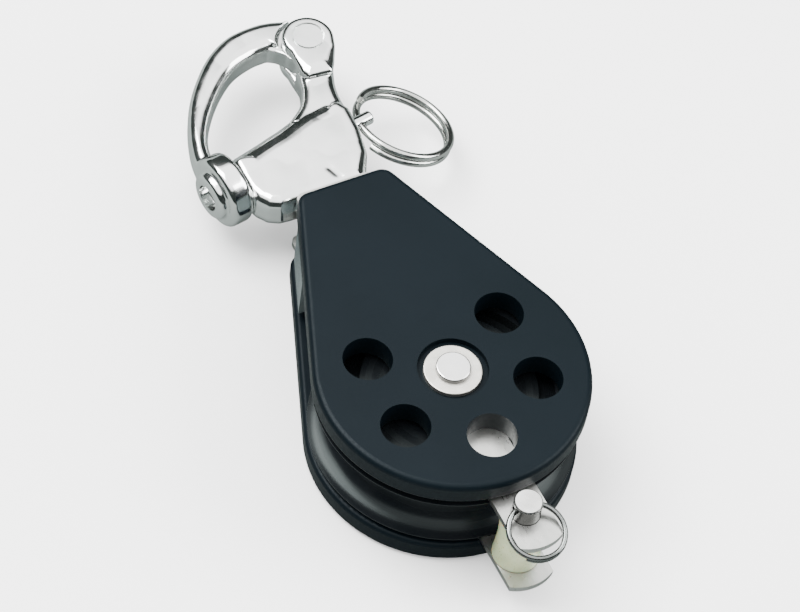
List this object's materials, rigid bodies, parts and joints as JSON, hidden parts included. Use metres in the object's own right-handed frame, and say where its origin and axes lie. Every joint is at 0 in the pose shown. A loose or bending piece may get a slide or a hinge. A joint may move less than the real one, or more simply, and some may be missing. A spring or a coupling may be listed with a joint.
{
  "type": "single sheave block",
  "caption": "Single pulley block with open moulded cheeks, a rope becket with thimble and pin, and a snap shackle with a sprung plunger and pull ring.",
  "frame": {"origin": "centre of the sheave on the axle's axis, midway between the cheeks", "axes": "+Z along the axle towards the front cheek, +Y from the axle towards the snap shackle, +X towards the pull ring"},
  "size_m": [0.0554, 0.1263, 0.0237],
  "materials": {
    "cheek_nylon": "satin near-black navy glass-filled nylon",
    "spacer_nylon": "satin grey-green moulded nylon",
    "sheave_acetal": "smooth turned black acetal",
    "bush_acetal": "plain white acetal bearing",
    "strap_steel": "satin rolled stainless steel",
    "rivet_steel": "turned stainless steel",
    "pin_steel": "turned stainless steel",
    "ring_steel": "bright drawn stainless spring wire",
    "shackle_steel": "mirror-polished cast stainless steel",
    "thimble_nylon": "natural translucent nylon"
  },
  "bodies": {
    "block": {"front_cheek": "cheek_nylon", "back_cheek": "cheek_nylon", "front_strap": "strap_steel", "back_strap": "strap_steel", "head_spacer": "spacer_nylon", "head_rivet": "rivet_steel", "axle_rivet": "rivet_steel", "front_axle_washer": "rivet_steel", "back_axle_washer": "rivet_steel", "bearing_bush": "bush_acetal", "shackle_body": "shackle_steel", "bail_hinge_rivet": "shackle_steel", "plunger_spring": "ring_steel"},
    "sheave": {"sheave": "sheave_acetal"},
    "becket_pin": {"becket_clevis_pin": "pin_steel"},
    "thimble": {"becket_thimble": "thimble_nylon"},
    "split_ring": {"becket_split_ring": "ring_steel"},
    "bail": {"shackle_bail": "shackle_steel"},
    "plunger": {"plunger": "shackle_steel"},
    "pull_ring": {"pull_ring": "ring_steel"}
  },
  "joints": [
    {"name": "sheave_spin", "type": "hinge", "parent": "block", "child": "sheave", "pos_m": [0, 0, 0], "axis": [0, 0, 1], "continuous": true},
    {"name": "becket_pin_turn", "type": "hinge", "parent": "block", "child": "becket_pin", "pos_m": [0, -0.0279, 0], "axis": [0, 0, 1], "range_deg": [-55, 55]},
    {"name": "thimble_spin", "type": "hinge", "parent": "block", "child": "thimble", "pos_m": [0, -0.0279, 0], "axis": [0, 0, 1], "continuous": true},
    {"name": "split_ring_swing", "type": "hinge", "parent": "becket_pin", "child": "split_ring", "pos_m": [0, -0.0279, 0.009], "axis": [-0.9962, 0.0872, 0], "range_deg": [0, 110]},
    {"name": "bail_open", "type": "hinge", "parent": "block", "child": "bail", "pos_m": [0.0116, 0.0807, 0], "axis": [0, 0, -1], "range_deg": [0, 110]},
    {"name": "plunger_pull", "type": "slide", "parent": "block", "child": "plunger", "axis": [0.986, 0.1668, 0], "range_m": [0, 0.0046], "stiffness_N_per_m": 800, "springref_m": -0.003, "deforming": ["plunger_spring"]},
    {"name": "pull_ring_swing", "type": "hinge", "parent": "plunger", "child": "pull_ring", "pos_m": [0.01344, 0.0618, 0], "axis": [0.1381, 0.9777, -0.1583], "range_deg": [-60, 30]}
  ]
}
